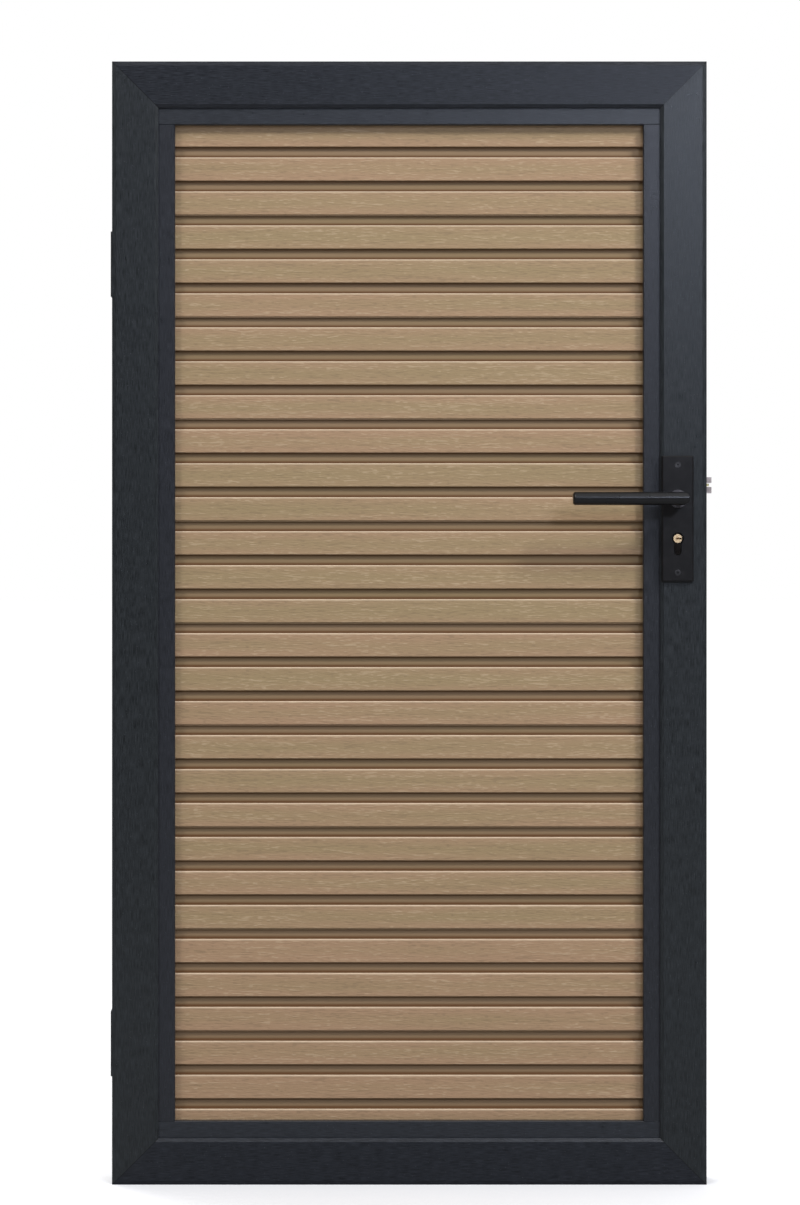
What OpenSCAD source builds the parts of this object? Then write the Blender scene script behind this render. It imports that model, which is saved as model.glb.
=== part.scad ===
// Garden gate: mitred aluminium frame, interlocking ribbed composite boards,
// mortise lock with lever handles, and two lift-off hinges on the rear.
// X runs across the leaf, +Y to the rear, +Z up. The origin is the middle of the leaf's foot.

/* [Leaf] */
// Width of the leaf
leaf_w = 900; // [700:10:1200]
// Height of the leaf
leaf_h = 1700; // [1400:10:2400]
// Depth of the frame bars
frame_d = 60; // [52:1:70]
// Width of the frame bars seen from the front
frame_face = 70; // [68:1:90]
// Wall of the frame bars
frame_wall = 2.2; // [1.8:0.1:3]
// Width of the chamfer on the frame's outer edge
outer_chamfer_w = 6.5; // [2:0.5:8]
// Depth of the chamfer on the frame's outer edge
outer_chamfer_d = 2; // [1:0.5:4]
// Width of the chamfer on the frame's inner edge
inner_chamfer_w = 5; // [2:0.5:8]
// Depth of the chamfer on the frame's inner edge
inner_chamfer_d = 3; // [1:0.5:4]
// Width of the leg and bead that hold the panel
rebate_w = 25; // [20:1:35]
// Step from the frame's front face back to the bead
bead_step = 6; // [3:0.5:8]
// Wall of the beads
bead_wall = 1.6; // [1.2:0.1:2.5]

/* [Boards] */
// Number of boards
board_count = 10; // [8:1:13]
// Ribs on one board
rib_count = 3; // [2:1:4]
// Height of one rib
rib_h = 35.5; // [24:0.5:42]
// Thickness of a board through its rib
board_t = 22; // [20:0.5:28]
// Depth of the groove between ribs
groove_d = 7; // [4:0.5:9]
// Wall around the hollow of a rib
board_wall = 4; // [3:0.5:5]
// Gap that a board's end keeps to the frame
board_end_gap = 4; // [2:0.5:8]
// Thickness of the blocks that carry the lowest board
setting_block_t = 3; // [2:0.5:5]
// Gap above the top board
top_board_gap = 7; // [4:0.5:10]
// Thickness of the gasket on each side of the panel
gasket_t = 2; // [1:0.5:3]

/* [Lock] */
// From the leaf's edge to the spindle
backset = 45; // [43:1:46]
// Height of the spindle
spindle_z = 1038; // [900:1:1100]
// From the spindle down to the lock cylinder
lock_centres = 60; // [60:1:72]
// From the spindle up to the middle of the latch
latch_rise = 21; // [20:1:26]
// Side of the square spindle
spindle_side = 8; // [7:0.5:10]
// Travel of the latch
latch_throw = 12; // [10:0.5:12]
// Travel of the dead bolt
dead_bolt_throw = 20; // [15:1:22]
// Height of the latch head
latch_h = 24.5; // [18:0.5:26]
// Thickness of the latch head
latch_t = 12; // [10:0.5:13]
// Height of the dead bolt
dead_bolt_h = 22; // [16:0.5:24]
// Thickness of the dead bolt
dead_bolt_t = 10; // [8:0.5:13]
// Length of the forend
forend_l = 200; // [190:1:240]
// Width of the forend
forend_w = 22; // [20:0.5:26]
// Thickness of the forend
forend_t = 3; // [2:0.5:3]
// Width over the lock case's sides
case_t = 18; // [17:0.5:20]
// Wall of the lock case
case_wall = 1.5; // [1.2:0.1:2]

/* [Handle] */
// Width of the handle plates
plate_w = 48; // [42:1:54]
// Height of the handle plates
plate_h = 190; // [186:1:230]
// Thickness of the handle plates
plate_t = 8; // [6:0.5:10]
// From the spindle down to the middle of the plates
plate_drop = 30; // [24:1:34]
// Spacing of the plate's screws
plate_screw_spacing = 163; // [162:1:168]
// Diameter of the lever bar
lever_dia = 20; // [18:0.5:24]
// From the spindle to the lever's tip
lever_l = 163; // [120:1:180]
// From the frame's face to the middle of the lever
lever_stand = 55; // [45:1:65]
// Diameter of the collar at the lever's neck
collar_dia = 27; // [25:0.5:32]

/* [Cylinder] */
// Diameter of the cylinder's round part
cyl_dia = 17; // [17:0.1:17.4]
// Width of the cylinder's lower web
cyl_web_w = 10; // [10:0.1:10.6]
// Height of the whole cylinder profile
cyl_h = 33; // [33:0.1:33.4]
// Diameter of the plugs
plug_dia = 13; // [12.5:0.1:13.2]

/* [Hinges] */
// From each end of the leaf to the middle of its hinge
hinge_inset = 250; // [180:10:400]
// Diameter of the hinge barrels
barrel_dia = 16; // [14:0.5:20]
// Diameter of the hinge pins
pin_dia = 10; // [8:0.5:12]
// Length of each half of a hinge
knuckle_l = 100; // [80:1:140]
// Thickness of the hinge plates
hinge_plate_t = 4; // [3:0.5:6]
// Gap between the leaf and the gatepost
post_gap = 7; // [6:0.5:12]
// Spacing across of the holes for the gatepost bolts
post_hole_across = 36; // [30:1:50]
// Spacing up of the holes for the gatepost bolts
post_hole_up = 64; // [50:1:70]
// Diameter of the holes for the gatepost bolts
post_hole_dia = 9; // [7:0.5:11]

/* [Hidden] */
BOARD_NAMES = [for (i = [1 : board_count]) str("board_", i)];
$fn = 48;

// Clearances and cutting allowances
run_gap = 0.05;     // radial gap of a shaft that turns in its bore
slide_gap = 0.3;    // gap round a piece that slides
fit_gap = 0.2;      // gap round a piece that is fixed in a pocket
eps = 1;            // how far a cut runs past a face

// Frame
half_w = leaf_w / 2;
half_d = frame_d / 2;
bar_w = frame_face + rebate_w;              // full width of a bar, with its rear leg
open_w = leaf_w - 2 * frame_face;           // between the inner walls of the bars
open_h = leaf_h - 2 * frame_face;
cleat_arm = 115;
cleat_screw_inset = 15;                     // from the end of a cleat's arm to its screw
cleat_d = 44;
cleat_wall = 12;
cleat_screw_d = 5;
cleat_screw_l = 16;

// Panel: boards in the middle of the depth, gaskets and beads on either side
board_back = board_t / 2;
leg_front = board_back + gasket_t;          // front face of the bar's rear leg
bead_front = -half_d + bead_step;
bead_back = -board_back - gasket_t;
gasket_w = rebate_w - 4;
board_len = open_w - 2 * board_end_gap;
board_cover = (open_h - setting_block_t - top_board_gap) / board_count;
rib_pitch = board_cover / rib_count;
rib_edge = 1;                               // chamfer on the ribs' edges
board_joint = 0.3;                          // seam between two boards
lip_h = 2;                                  // how far the back hangs below the lowest rib
lip_front = 3;                              // step from the rib face back to the lip
tongue_h = 7;
tongue_t = 6;
tongue_y = 4;
panel_foot = frame_face + setting_block_t;

// Lock
spindle_x = half_w - backset;
cyl_z = spindle_z - lock_centres;
latch_z = spindle_z + latch_rise;
dead_bolt_drop = 29;                        // from the spindle down to the dead bolt
dead_bolt_stay = 14;                        // length of its head that stays in the case when thrown
dead_bolt_z = spindle_z - dead_bolt_drop;
plate_z = spindle_z - plate_drop;
case_front = half_w - forend_t;
case_back = half_w - frame_face + frame_wall + 0.8;
case_rise = 45;                             // lock case above the spindle
case_drop = 40;                             // lock case below the cylinder
case_top = spindle_z + case_rise;
case_foot = cyl_z - case_drop;
case_half = case_t / 2;
inner_half = case_half - case_wall;
forend_drop = 2.5;                          // middle of the forend below the middle of the case
forend_z = (case_top + case_foot) / 2 - forend_drop;
forend_screw_inset = 7;                     // from the forend's ends to its screws
forend_screw_z = [forend_z - forend_l / 2 + forend_screw_inset,
                  forend_z + forend_l / 2 - forend_screw_inset];
pillar_r = 3;
pillar_inset = 6.5;                         // from the case's back and top to the pillars
pillar_rise = 7;                            // from the case's foot to the lower pillars
pillar_setback = 8;                         // from the case's front to the front pillars
case_screw_d = 3;
pillar_spots = [
    [case_back + pillar_inset, case_foot + pillar_rise],
    [case_front - pillar_setback, case_foot + pillar_rise],
    [case_back + pillar_inset, case_top - pillar_inset],
    [case_front - pillar_setback, case_top - pillar_inset]];

// Follower, latch and dead bolt
hub_r = 10;
hub_spigot_r = 9;
arm_half = 3;
latch_arm_r = 18;
spring_arm_r = 15;
arm_t = 6;
hook_gap = 0.6;                             // free play before the follower moves the latch
hook_t = 3;
hook_clear = 0.7;                           // from the hub up to the hook
hook_over = 6;                              // hook above the end of the follower's arm
hook_foot = spindle_z + hub_r + hook_clear;
hook_top = spindle_z + latch_arm_r + hook_over;
latch_block_reach = 23;                     // from the spindle to the rear face of the latch block
latch_back = spindle_x + latch_block_reach;
latch_tail_t = 2;
latch_slot_h = 6;                           // slot between the latch tines
latch_slot_rise = 0.5;
latch_nose = half_w + latch_throw;
spring_lug_x = spindle_x + 5;
latch_spring_z = latch_z + latch_h / 2 - 4.5;
spring_wire = 1;
spring_r = 2.2;
latch_spring_bore = 6.4;
handle_spring_z = spindle_z - 12;
handle_spring_end = case_front - 10;

// Cylinder
cyl_half_l = half_d + plate_t - 1;          // the cylinder stands 1 mm inside the plates
cam_half_t = 4.8;
cam_gap = 5;
cam_reach = 15;
cam_nose_w = 8;
web_top = cyl_z - cam_reach - 0.5;
cyl_screw_z = cyl_z - 20;
cyl_screw_d = 5;
keyway_w = 2.4;
keyway_h = 9;
keyway_l = 24;

// Handle set
plate_front = half_d + plate_t;             // distance of a plate's outer face from the middle
collar_h = 6;
bush_dia = 22;
spigot_dia = 16;
neck_start = plate_front + collar_h + slide_gap;
socket_l = 33;
spindle_half = half_d + 1 + socket_l - 2;
lever_y = half_d + lever_stand;
tip_round = 4;
grub_d = 6;
grub_y = plate_front + collar_h + 10;
bolt_d = 5;
bolt_head_d = 9.6;
sleeve_d = 8;
bolt_z = [plate_z - plate_screw_spacing / 2, plate_z + plate_screw_spacing / 2];

// Hinges
hinge_z = [hinge_inset, leaf_h - hinge_inset];
barrel_x = -half_w + barrel_dia / 2 - 4;
barrel_y = half_d + barrel_dia / 2 + 1;
post_x = -half_w - post_gap;                // face that lies on the gatepost
washer_t = 1.5;
leaf_plate_w = 70;
post_plate_w = 70;
hinge_screw_d = 6;
hinge_screw_head = 11.5;
hinge_screw_l = 22;
hinge_screw_across = 30;
hinge_screw_inset = 16;                     // from the barrel's axis to the nearer screws
hinge_screw_up = 60;
nut_dia = 9;
nut_l = 15;
pin_reach = 45;

// ---------------------------------------------------------------- shared shapes

// Cylinder along Y between two planes
module rod_y(r, y0, y1) {
    translate([0, y0, 0]) rotate([-90, 0, 0]) cylinder(r = r, h = y1 - y0);
}

// Cylinder along X between two planes
module rod_x(r, x0, x1) {
    translate([x0, 0, 0]) rotate([0, 90, 0]) cylinder(r = r, h = x1 - x0);
}

// Block between two corners
module block(a, b) {
    translate(a) cube([b[0] - a[0], b[1] - a[1], b[2] - a[2]]);
}

// Countersunk screw along -Z with its head's top at z = 0 and a six-sided socket
module sunk_screw(d, head_d, len, socket = 0) {
    head_h = (head_d - d) / 2;
    difference() {
        rotate_extrude()
            polygon([[0, -len], [d / 2 - 0.5, -len], [d / 2, -len + 0.5], [d / 2, -head_h],
                     [head_d / 2, 0], [0, 0]]);
        if (socket > 0)
            translate([0, 0, -head_h]) cylinder(d = socket, h = head_h + eps, $fn = 6);
    }
}

// Hole that a countersunk screw fits, head's top at z = 0
module sunk_hole(d, head_d, len) {
    head_h = (head_d - d) / 2;
    rotate_extrude()
        polygon([[0, -len], [d / 2 + fit_gap, -len], [d / 2 + fit_gap, -head_h],
                 [head_d / 2 + fit_gap, 0], [head_d / 2 + fit_gap, eps], [0, eps]]);
}

// Coil spring along +Z from z = 0, as one swept wire
module coil(r, wire, len, turns) {
    sides = 8;
    per_turn = 12;
    rings = turns * per_turn;
    path = [for (i = [0 : rings]) [
        r * cos(360 * i / per_turn), r * sin(360 * i / per_turn),
        wire / 2 + (len - wire) * i / rings]];
    points = [for (i = [0 : rings]) for (k = [0 : sides - 1])
        let (a = 360 * i / per_turn, t = 360 * k / sides)
        path[i] + wire / 2 * [cos(t) * cos(a), cos(t) * sin(a), sin(t)]];
    walls = [for (i = [0 : rings - 1]) for (k = [0 : sides - 1])
        let (n = (k + 1) % sides)
        [i * sides + k, (i + 1) * sides + k, (i + 1) * sides + n, i * sides + n]];
    start = [for (k = [0 : sides - 1]) k];
    finish = [for (k = [sides - 1 : -1 : 0]) rings * sides + k];
    polyhedron(points, concat([start, finish], walls));
}

// ---------------------------------------------------------------- frame

// Section of a frame bar: x is measured inward from the outer edge, y is the depth
module bar_section() {
    difference() {
        polygon([
            [0, -half_d + outer_chamfer_d], [outer_chamfer_w, -half_d],
            [frame_face - inner_chamfer_w, -half_d], [frame_face, -half_d + inner_chamfer_d],
            [frame_face, leg_front], [bar_w, leg_front], [bar_w, half_d], [0, half_d]]);
        polygon([
            [frame_wall, -half_d + outer_chamfer_d + frame_wall],
            [outer_chamfer_w, -half_d + frame_wall],
            [frame_face - inner_chamfer_w, -half_d + frame_wall],
            [frame_face - frame_wall, -half_d + inner_chamfer_d + frame_wall],
            [frame_face - frame_wall, half_d - frame_wall], [frame_wall, half_d - frame_wall]]);
        polygon([
            [frame_face, leg_front + frame_wall], [bar_w - frame_wall, leg_front + frame_wall],
            [bar_w - frame_wall, half_d - frame_wall], [frame_face, half_d - frame_wall]]);
    }
}

// Upright bar whose outer edge is at x = 0, with mitred ends
module upright_bar() {
    intersection() {
        linear_extrude(leaf_h) bar_section();
        rotate([90, 0, 0]) linear_extrude(frame_d + 2 * eps, center = true)
            polygon([[0, 0], [bar_w, bar_w], [bar_w, leaf_h - bar_w], [0, leaf_h]]);
    }
}

// Level bar whose outer edge is at z = 0, with mitred ends, centred on x = 0
module level_bar() {
    intersection() {
        translate([half_w, 0, 0]) rotate([0, -90, 0]) linear_extrude(leaf_w) bar_section();
        rotate([90, 0, 0]) linear_extrude(frame_d + 2 * eps, center = true)
            polygon([[-half_w, 0], [half_w, 0], [half_w - bar_w, bar_w], [-half_w + bar_w, bar_w]]);
    }
}

// Places a child in all four corners; the child is drawn for the lower left one
module at_corners() {
    for (sx = [0, 1], sz = [0, 1])
        translate([0, 0, sz * leaf_h]) mirror([0, 0, sz]) mirror([sx, 0, 0])
            translate([-half_w, 0, 0]) children();
}

// Spots of the two screws of a corner, measured from the leaf's corner
cleat_spots = [[frame_face / 2, cleat_arm - cleat_screw_inset],
               [cleat_arm - cleat_screw_inset, frame_face / 2]];

module cleat_screw_holes() {
    at_corners() for (s = cleat_spots)
        translate([s[0], half_d, s[1]]) rotate([-90, 0, 0])
            sunk_hole(cleat_screw_d, 2 * cleat_screw_d, cleat_screw_l);
}

module hinge_screw_spots() {
    for (z = hinge_z, u = [-1, 1], v = [-1, 1])
        translate([barrel_x + hinge_screw_inset + (1 + u) * hinge_screw_across / 2, 0,
                   z + washer_t + knuckle_l / 2 + v * hinge_screw_up / 2]) children();
}

module hinge_stile() color([0.17, 0.18, 0.19]) difference() {
    translate([-half_w, 0, 0]) upright_bar();
    cleat_screw_holes();
    hinge_screw_spots() rod_y(nut_dia / 2 + run_gap, half_d - frame_wall - eps, half_d + eps);
}

module lock_stile() color([0.17, 0.18, 0.19]) difference() {
    mirror([1, 0, 0]) translate([-half_w, 0, 0]) upright_bar();
    cleat_screw_holes();
    // Slot for the forend
    block([half_w - frame_wall - eps, -forend_w / 2 - fit_gap, forend_z - forend_l / 2 - fit_gap],
          [half_w + eps, forend_w / 2 + fit_gap, forend_z + forend_l / 2 + fit_gap]);
    // Round hole for the spindle, keyed hole for the cylinder, holes for the sleeves
    translate([spindle_x, 0, spindle_z]) rod_y(bush_dia / 2 - 1, -half_d - eps, half_d + eps);
    translate([spindle_x, 0, cyl_z]) cylinder_hole(half_d + eps);
    for (z = bolt_z) translate([spindle_x, 0, z]) rod_y(sleeve_d / 2 + fit_gap, -half_d - eps, half_d + eps);
}

module top_rail() color([0.19, 0.2, 0.22]) difference() {
    translate([0, 0, leaf_h]) mirror([0, 0, 1]) level_bar();
    cleat_screw_holes();
}

module bottom_rail() color([0.18, 0.19, 0.2]) difference() {
    level_bar();
    cleat_screw_holes();
}

// Angle that fills the bars' chambers and keys each mitre
module corner_cleats() {
    near = frame_wall + fit_gap;
    far = frame_face - frame_wall - fit_gap;
    color("silver") difference() {
        at_corners() rotate([90, 0, 0]) linear_extrude(cleat_d, center = true) difference() {
            polygon([[near, near], [cleat_arm, near], [cleat_arm, far], [far, far],
                     [far, cleat_arm], [near, cleat_arm]]);
            translate([near + cleat_wall, near + cleat_wall])
                square(far - near - 2 * cleat_wall);
        }
        at_corners() for (s = cleat_spots)
            translate([s[0], 0, s[1]]) rod_y(cleat_screw_d / 2, 0, half_d);
    }
}

module cleat_screws() color("dimgray") at_corners() for (s = cleat_spots)
    translate([s[0], half_d, s[1]]) rotate([-90, 0, 0])
        sunk_screw(cleat_screw_d, 2 * cleat_screw_d, cleat_screw_l, 3);

// ---------------------------------------------------------------- panel retention

// Hollow bead on its back, from x = 0, with its outer edge on the frame's inner wall
module bead(len) {
    rotate([90, 0, 90]) linear_extrude(len) difference() {
        polygon([[bead_front, 0], [bead_back, 0], [bead_back, rebate_w], [bead_front + 1, rebate_w],
                 [bead_front, rebate_w - 1]]);
        polygon([[bead_front + bead_wall, bead_wall], [bead_back - bead_wall, bead_wall],
                 [bead_back - bead_wall, rebate_w - bead_wall],
                 [bead_front + bead_wall, rebate_w - bead_wall]]);
    }
}

module bead_bottom() color([0.22, 0.23, 0.25])
    translate([-open_w / 2, 0, frame_face]) bead(open_w);

module bead_top() color([0.22, 0.23, 0.25])
    translate([0, 0, leaf_h]) mirror([0, 0, 1]) bead_bottom();

// The side beads stand square between the level ones
module bead_left() color([0.22, 0.23, 0.25])
    translate([-open_w / 2, 0, leaf_h - bar_w]) rotate([0, 90, 0]) bead(leaf_h - 2 * bar_w);

module bead_right() color([0.22, 0.23, 0.25]) mirror([1, 0, 0]) bead_left();

// Ring of four flat strips between two depths, set back from the sight line
module gasket_ring(y0, y1) {
    side = open_w / 2;
    for (m = [0, 1]) {
        mirror([m, 0, 0])
            block([-side, y0, frame_face + gasket_w], [-side + gasket_w, y1, leaf_h - frame_face - gasket_w]);
        translate([0, 0, m * leaf_h]) mirror([0, 0, m])
            block([-side, y0, frame_face], [side, y1, frame_face + gasket_w]);
    }
}

module front_gaskets() color([0.06, 0.06, 0.06]) gasket_ring(bead_back, -board_back);

module rear_gaskets() color([0.06, 0.06, 0.06]) gasket_ring(board_back, leg_front);

module setting_blocks() color([0.1, 0.1, 0.1]) for (s = [-1, 1])
    translate([s * open_w / 4, 0, 0])
        block([-40, -board_back + 2, frame_face], [40, board_back, panel_foot]);

// ---------------------------------------------------------------- boards

// Outline of one board, x is the depth and y is up from the board's lip
module board_section(top_board) {
    front = -board_back;
    floor = front + groove_d;
    top = board_cover - board_joint;
    slot = [[tongue_y + tongue_t / 2 + 0.4, 0], [tongue_y + tongue_t / 2 + 0.4, tongue_h + 1],
            [tongue_y - tongue_t / 2 - 0.4, tongue_h + 1], [tongue_y - tongue_t / 2 - 0.4, 0]];
    ribs = [for (k = [0 : rib_count - 1]) let (z = lip_h + k * rib_pitch) each [
        [k == 0 ? front + lip_front : floor, z],
        [front + rib_edge, z], [front, z + rib_edge],
        [front, z + rib_h - rib_edge], [front + rib_edge, z + rib_h], [floor, z + rib_h]]];
    tongue = top_board ? [] : [
        [tongue_y - tongue_t / 2, top], [tongue_y - tongue_t / 2, top + tongue_h],
        [tongue_y + tongue_t / 2, top + tongue_h], [tongue_y + tongue_t / 2, top]];
    difference() {
        polygon(concat(
            [[board_back, 0]], slot, [[front + lip_front, 0]], ribs,
            [[floor, top]], tongue, [[board_back, top]]));
        for (k = [0 : rib_count - 1]) {
            foot = lip_h + k * rib_pitch + (k == 0 ? tongue_h + board_wall : board_wall);
            translate([front + board_wall, foot])
                square([board_t - 2 * board_wall, lip_h + k * rib_pitch + rib_h - board_wall - foot]);
        }
    }
}

module board(i) color([0.58, 0.5, 0.41])
    translate([-board_len / 2, 0, panel_foot + (i - 1) * board_cover])
        rotate([90, 0, 90]) linear_extrude(board_len) board_section(i == board_count);

// ---------------------------------------------------------------- hinges

module leaf_hinge(z) {
    foot = z + washer_t;
    difference() {
        union() {
            translate([barrel_x, barrel_y, foot]) cylinder(d = barrel_dia, h = knuckle_l);
            block([barrel_x, half_d, foot], [barrel_x + leaf_plate_w, half_d + hinge_plate_t, foot + knuckle_l]);
        }
        translate([barrel_x, barrel_y, foot - eps])
            cylinder(d = pin_dia + 2 * run_gap, h = pin_reach + eps);
        hinge_screw_spots() translate([0, half_d + hinge_plate_t, 0]) rotate([-90, 0, 0])
            sunk_hole(hinge_screw_d, hinge_screw_head, hinge_plate_t + eps);
    }
}

module hinge_leaf_upper() color("dimgray") leaf_hinge(hinge_z[1]);

module hinge_leaf_lower() color("dimgray") leaf_hinge(hinge_z[0]);

module post_hinge(z) {
    foot = z - knuckle_l;
    difference() {
        union() {
            translate([barrel_x, barrel_y, foot]) cylinder(d = barrel_dia, h = knuckle_l);
            block([post_x, barrel_y, foot], [post_x + hinge_plate_t, barrel_y + post_plate_w, z]);
            block([post_x, barrel_y, foot], [barrel_x, barrel_y + hinge_plate_t, z]);
        }
        translate([barrel_x, barrel_y, z - pin_reach]) cylinder(d = pin_dia, h = pin_reach + eps);
        for (u = [-1, 1], v = [-1, 1])
            translate([0, barrel_y + post_plate_w / 2 + 8 + u * post_hole_across / 2,
                       z - knuckle_l / 2 + v * post_hole_up / 2])
                rod_x(post_hole_dia / 2, post_x - eps, post_x + hinge_plate_t + eps);
    }
}

module hinge_post_upper() color("dimgray") post_hinge(hinge_z[1]);

module hinge_post_lower() color("dimgray") post_hinge(hinge_z[0]);

module hinge_pins() color("silver") for (z = hinge_z)
    translate([barrel_x, barrel_y, z - pin_reach]) rotate_extrude()
        polygon([[0, 0], [pin_dia / 2, 0], [pin_dia / 2, 2 * pin_reach - 1],
                 [pin_dia / 2 - 1, 2 * pin_reach], [0, 2 * pin_reach]]);

module hinge_washers() color("gold") for (z = hinge_z)
    translate([barrel_x, barrel_y, z]) rotate_extrude()
        translate([pin_dia / 2 + fit_gap, 0]) square([barrel_dia / 2 - pin_dia / 2 - fit_gap, washer_t - run_gap]);

module hinge_screws() color("silver") hinge_screw_spots()
    translate([0, half_d + hinge_plate_t, 0]) rotate([-90, 0, 0])
        sunk_screw(hinge_screw_d, hinge_screw_head, hinge_screw_l, 4);

module hinge_nuts() color("silver") hinge_screw_spots() difference() {
    rod_y(nut_dia / 2, half_d - nut_l, half_d);
    rod_y(hinge_screw_d / 2, half_d - nut_l - eps, half_d + eps);
}

// ---------------------------------------------------------------- lock

// Keyed outline of the cylinder with an even gap round it
module cylinder_outline(gap) {
    circle(d = cyl_dia + 2 * gap);
    web_r = cyl_web_w / 2;
    foot = cyl_dia / 2 - cyl_h;
    translate([-web_r - gap, foot + web_r]) square([2 * (web_r + gap), cyl_h - cyl_dia / 2 - web_r]);
    translate([0, foot + web_r]) circle(r = web_r + gap);
}

module cylinder_hole(half_l) {
    rotate([90, 0, 0]) linear_extrude(2 * half_l, center = true) cylinder_outline(0.6);
}

// Box that is open to the forend and to the cover
module lock_case() {
    color([0.75, 0.75, 0.77]) difference() {
        union() {
            block([case_back, -case_half, case_foot], [case_front, -inner_half, case_top]);
            block([case_back, -case_half, case_foot], [case_back + case_wall, inner_half, case_top]);
            block([case_back, -case_half, case_foot], [case_front, inner_half, case_foot + case_wall]);
            block([case_back, -case_half, case_top - case_wall], [case_front, inner_half, case_top]);
            for (p = pillar_spots) translate([p[0], 0, p[1]]) rod_y(pillar_r, -inner_half - eps / 2, inner_half);
            // Lugs that the two springs push on
            block([spring_lug_x, -inner_half - eps / 2, latch_spring_z - 3],
                  [spring_lug_x + 2, inner_half, latch_spring_z + 3]);
            block([handle_spring_end, -inner_half - eps / 2, handle_spring_z - 4],
                  [handle_spring_end + 2, inner_half, handle_spring_z + 4]);
        }
        case_openings();
        for (p = pillar_spots) translate([p[0], 0, p[1]])
            rod_y(case_screw_d / 2, -case_half + case_wall, inner_half + eps);
    }
}

module case_openings() {
    translate([spindle_x, 0, spindle_z]) rod_y(hub_spigot_r + run_gap, -case_half - eps, case_half + eps);
    translate([spindle_x, 0, cyl_z]) cylinder_hole(case_half + eps);
}

module lock_cover() color([0.8, 0.8, 0.82]) difference() {
    block([case_back, inner_half, case_foot], [case_front, case_half, case_top]);
    case_openings();
    for (p = pillar_spots) translate([p[0], case_half, p[1]]) rotate([-90, 0, 0])
        sunk_hole(case_screw_d, 5, case_wall + eps);
}

module case_screws() color("silver") for (p = pillar_spots)
    translate([p[0], case_half, p[1]]) rotate([-90, 0, 0]) sunk_screw(case_screw_d, 5, 12);

module forend() color([0.72, 0.72, 0.74]) difference() {
    block([case_front, -forend_w / 2, forend_z - forend_l / 2],
          [half_w, forend_w / 2, forend_z + forend_l / 2]);
    block([case_front - eps, -latch_t / 2 - slide_gap, latch_z - latch_h / 2 - slide_gap],
          [half_w + eps, latch_t / 2 + slide_gap, latch_z + latch_h / 2 + slide_gap]);
    block([case_front - eps, -dead_bolt_t / 2 - slide_gap, dead_bolt_z - dead_bolt_h / 2 - slide_gap],
          [half_w + eps, dead_bolt_t / 2 + slide_gap, dead_bolt_z + dead_bolt_h / 2 + slide_gap]);
    for (z = concat(forend_screw_z, [cyl_screw_z])) translate([half_w, 0, z]) rotate([0, 90, 0])
        sunk_hole(cyl_screw_d, 8.6, forend_t + eps);
}

// Clips behind the stile's wall that take the forend's screws
module forend_clips() color("silver") for (z = forend_screw_z) difference() {
    block([case_front - 4, -forend_w / 2 + 2, z - 14], [case_front, forend_w / 2 - 2, z + 14]);
    translate([0, 0, z]) rod_x(cyl_screw_d / 2, case_front - 4 - eps, case_front + eps);
}

module forend_screws() color("silver") for (z = forend_screw_z)
    translate([half_w, 0, z]) rotate([0, 90, 0]) sunk_screw(cyl_screw_d, 8.6, 14, 2.5);

// Hub that the spindle turns, with one arm for the latch and one for the return spring
module follower() color([0.6, 0.58, 0.5]) difference() {
    translate([spindle_x, 0, spindle_z]) {
        rod_y(hub_r, -inner_half + slide_gap, inner_half - slide_gap);
        rod_y(hub_spigot_r, -case_half, case_half);
        block([-arm_half, -arm_t / 2, 0], [arm_half, arm_t / 2, latch_arm_r]);
        block([-arm_half, -arm_t / 2, -spring_arm_r], [arm_half, arm_t / 2, 0]);
    }
    square_hole(case_half + eps);
}

module square_hole(half_l) {
    half = spindle_side / 2 + run_gap;
    block([spindle_x - half, -half_l, spindle_z - half], [spindle_x + half, half_l, spindle_z + half]);
}

module handle_spring() color("silver") translate([spindle_x + arm_half, 0, handle_spring_z])
    rotate([0, 90, 0]) coil(spring_r, spring_wire, handle_spring_end - spindle_x - arm_half, 7);

// Forked head with its front face bevelled, a thin tail past the follower, and a hook
module latch_bolt() {
    z0 = latch_z - latch_h / 2;
    z1 = latch_z + latch_h / 2;
    y0 = -latch_t / 2;
    y1 = latch_t / 2;
    hook_x = spindle_x - arm_half - hook_gap;
    slot_z = latch_z + latch_slot_rise;
    color([0.65, 0.62, 0.6]) difference() {
        union() {
            translate([0, 0, z0]) linear_extrude(latch_h)
                polygon([[latch_back, y0], [half_w + 1, y0], [latch_nose, y1 - 3],
                         [latch_nose, y1], [latch_back, y1]]);
            block([hook_x - hook_t, y1 - latch_tail_t, hook_foot], [latch_back + eps, y1, hook_top]);
            block([hook_x - hook_t, y0, hook_foot], [hook_x, y1, hook_top]);
        }
        block([half_w - 1, y0 - eps, slot_z - latch_slot_h / 2],
              [latch_nose + eps, y1 + eps, slot_z + latch_slot_h / 2]);
        translate([0, 0, latch_spring_z]) rod_x(latch_spring_bore / 2, latch_back - eps, latch_back + 15);
    }
}

// Brass block between the tines
module latch_insert() color([0.8, 0.76, 0.55]) translate([0, 0, latch_z + latch_slot_rise - latch_slot_h / 2 + 1])
    linear_extrude(latch_slot_h - 2)
        polygon([[half_w - 1, -latch_t / 2 + 1], [half_w + 1, -latch_t / 2 + 1],
                 [half_w + latch_throw - 4, latch_t / 2 - 3], [half_w + latch_throw - 4, latch_t / 2 - 1],
                 [half_w - 1, latch_t / 2 - 1]]);

module latch_spring() color("silver") translate([spring_lug_x + 2, 0, latch_spring_z])
    rotate([0, 90, 0]) coil(spring_r, spring_wire, latch_back + 15 - spring_lug_x - 2, 9);

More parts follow.
